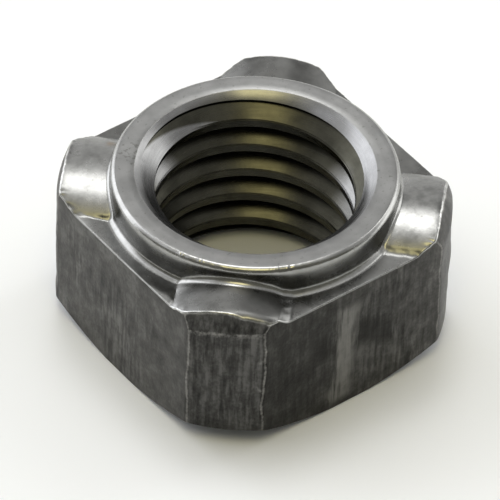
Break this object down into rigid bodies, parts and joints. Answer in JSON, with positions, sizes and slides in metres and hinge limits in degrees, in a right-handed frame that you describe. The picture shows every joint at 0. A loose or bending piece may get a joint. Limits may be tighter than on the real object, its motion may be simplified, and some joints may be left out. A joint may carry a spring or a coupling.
{
  "type": "square weld nut",
  "caption": "Square steel weld nut with rounded corners, a round pilot collar and crowned corner pads that fuse to a sheet, leaving a fixed threaded hole behind it.",
  "frame": {"origin": "centre of the flat base, on the thread's axis", "axes": "+Z along the thread towards the collar and the weld pads; the flats face X and Y"},
  "size_m": [0.017, 0.017, 0.0098],
  "materials": {
    "bare_steel": "bare cold-formed steel, dark drawn flats, burnished pads and collar"
  },
  "bodies": {
    "root": {"weld_nut": "bare_steel"}
  },
  "joints": []
}
